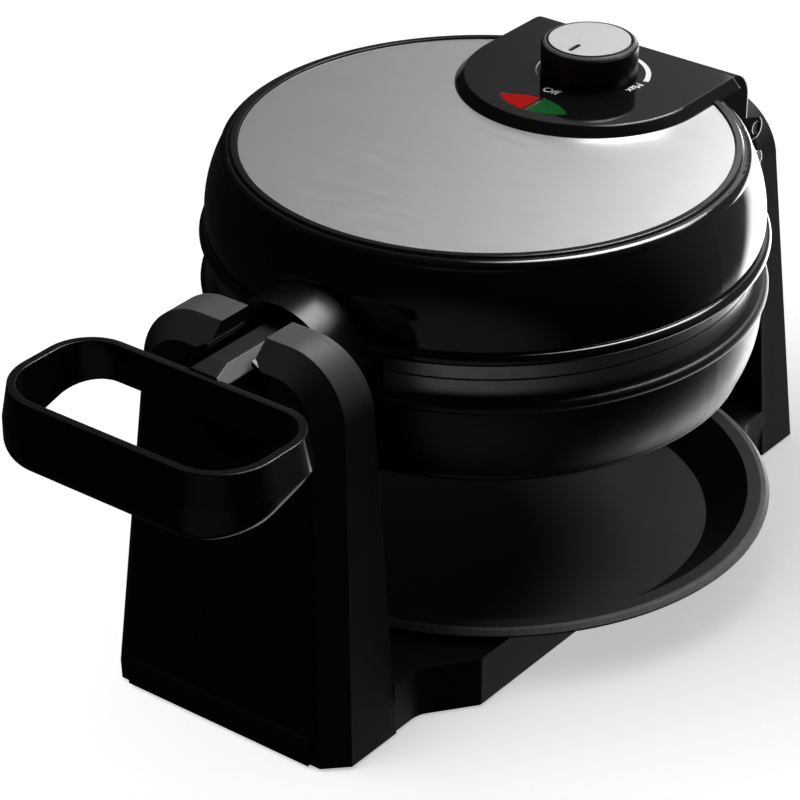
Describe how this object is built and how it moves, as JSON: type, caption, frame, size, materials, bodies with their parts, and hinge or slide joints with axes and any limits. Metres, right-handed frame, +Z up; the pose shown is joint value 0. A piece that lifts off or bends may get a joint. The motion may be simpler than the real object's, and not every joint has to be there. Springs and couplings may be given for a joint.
{
  "type": "rotating waffle maker",
  "caption": "Flip waffle maker: a round hinged cooking head with grid plates turns between two posts over a drip tray, with a loop handle and a thermostat knob.",
  "frame": {"origin": "centre of the footprint, at table height", "axes": "+Z up, -Y towards the handle, +X to the user's right as they face the handle"},
  "size_m": [0.245, 0.4066, 0.2124],
  "materials": {
    "matte_black": "fine textured black",
    "gloss_black": "polished black",
    "cast_plate": "dark non-stick coating",
    "brushed_face": "brushed",
    "plain_steel": "plain sheet",
    "bright_metal": "bright plated",
    "reflector_sheet": "mill sheet",
    "nylon": "natural",
    "rubber": "matte",
    "red_glass": "translucent",
    "green_glass": "translucent",
    "lamp_glass": "clear"
  },
  "bodies": {
    "stand": {"front_post_shell": "matte_black", "front_post_cover": "matte_black", "front_saddle_bush": "nylon", "rear_post_shell": "matte_black", "rear_post_cover": "matte_black", "rear_bearing_bush": "nylon", "flip_stop": "nylon", "base_bridge": "matte_black", "bottom_plate": "plain_steel", "rubber_feet": "rubber", "base_screws": "bright_metal", "cord_gland": "rubber", "terminal_block": "nylon"},
    "head": {"lower_shell": "gloss_black", "lower_grid_plate": "cast_plate", "lower_heater": "plain_steel", "lower_reflector": "reflector_sheet", "lower_plate_screws": "bright_metal", "lower_collar": "gloss_black", "thermal_fuse": "reflector_sheet", "hinge_bracket": "plain_steel", "bracket_screws": "bright_metal", "hinge_pin": "bright_metal", "rear_trunnion": "plain_steel", "trunnion_washer": "plain_steel", "stop_arm": "plain_steel", "trunnion_clip": "plain_steel", "bracket_studs": "bright_metal"},
    "lid": {"upper_shell": "gloss_black", "upper_grid_plate": "cast_plate", "upper_heater": "plain_steel", "upper_reflector": "reflector_sheet", "upper_plate_screws": "bright_metal", "upper_collar": "gloss_black", "handle_loop": "gloss_black", "handle_core": "plain_steel", "steel_disc": "brushed_face", "disc_trim_ring": "gloss_black", "panel_housing": "gloss_black", "panel_screws": "bright_metal", "red_lens": "red_glass", "green_lens": "green_glass", "indicator_lamps": "lamp_glass", "lamp_holder": "nylon", "thermostat_frame": "plain_steel", "thermostat_stack": "nylon"},
    "knob": {"thermostat_shaft": "plain_steel", "knob_body": "gloss_black", "knob_cap": "brushed_face"},
    "thermostat_blade": {"thermostat_blade": "plain_steel"},
    "tray": {"drip_tray": "matte_black"}
  },
  "joints": [
    {"name": "flip", "type": "hinge", "parent": "stand", "child": "head", "pos_m": [0, 0.03625, 0.144], "axis": [0, 1, 0], "range_deg": [-180, 0]},
    {"name": "lid_open", "type": "hinge", "parent": "head", "child": "lid", "pos_m": [0, 0.16325, 0.166], "axis": [-1, 0, 0], "range_deg": [0, 90]},
    {"name": "knob_turn", "type": "hinge", "parent": "lid", "child": "knob", "pos_m": [0, 0.10975, 0.2], "axis": [0, 0, -1], "range_deg": [0, 270]},
    {"name": "blade_bend", "type": "hinge", "parent": "lid", "child": "thermostat_blade", "pos_m": [0, 0.11975, 0.1693], "axis": [1, 0, 0], "range_deg": [0, 3]},
    {"name": "tray_lift", "type": "slide", "parent": "stand", "child": "tray", "axis": [0, 0, 1], "range_m": [0, 0.04]}
  ]
}
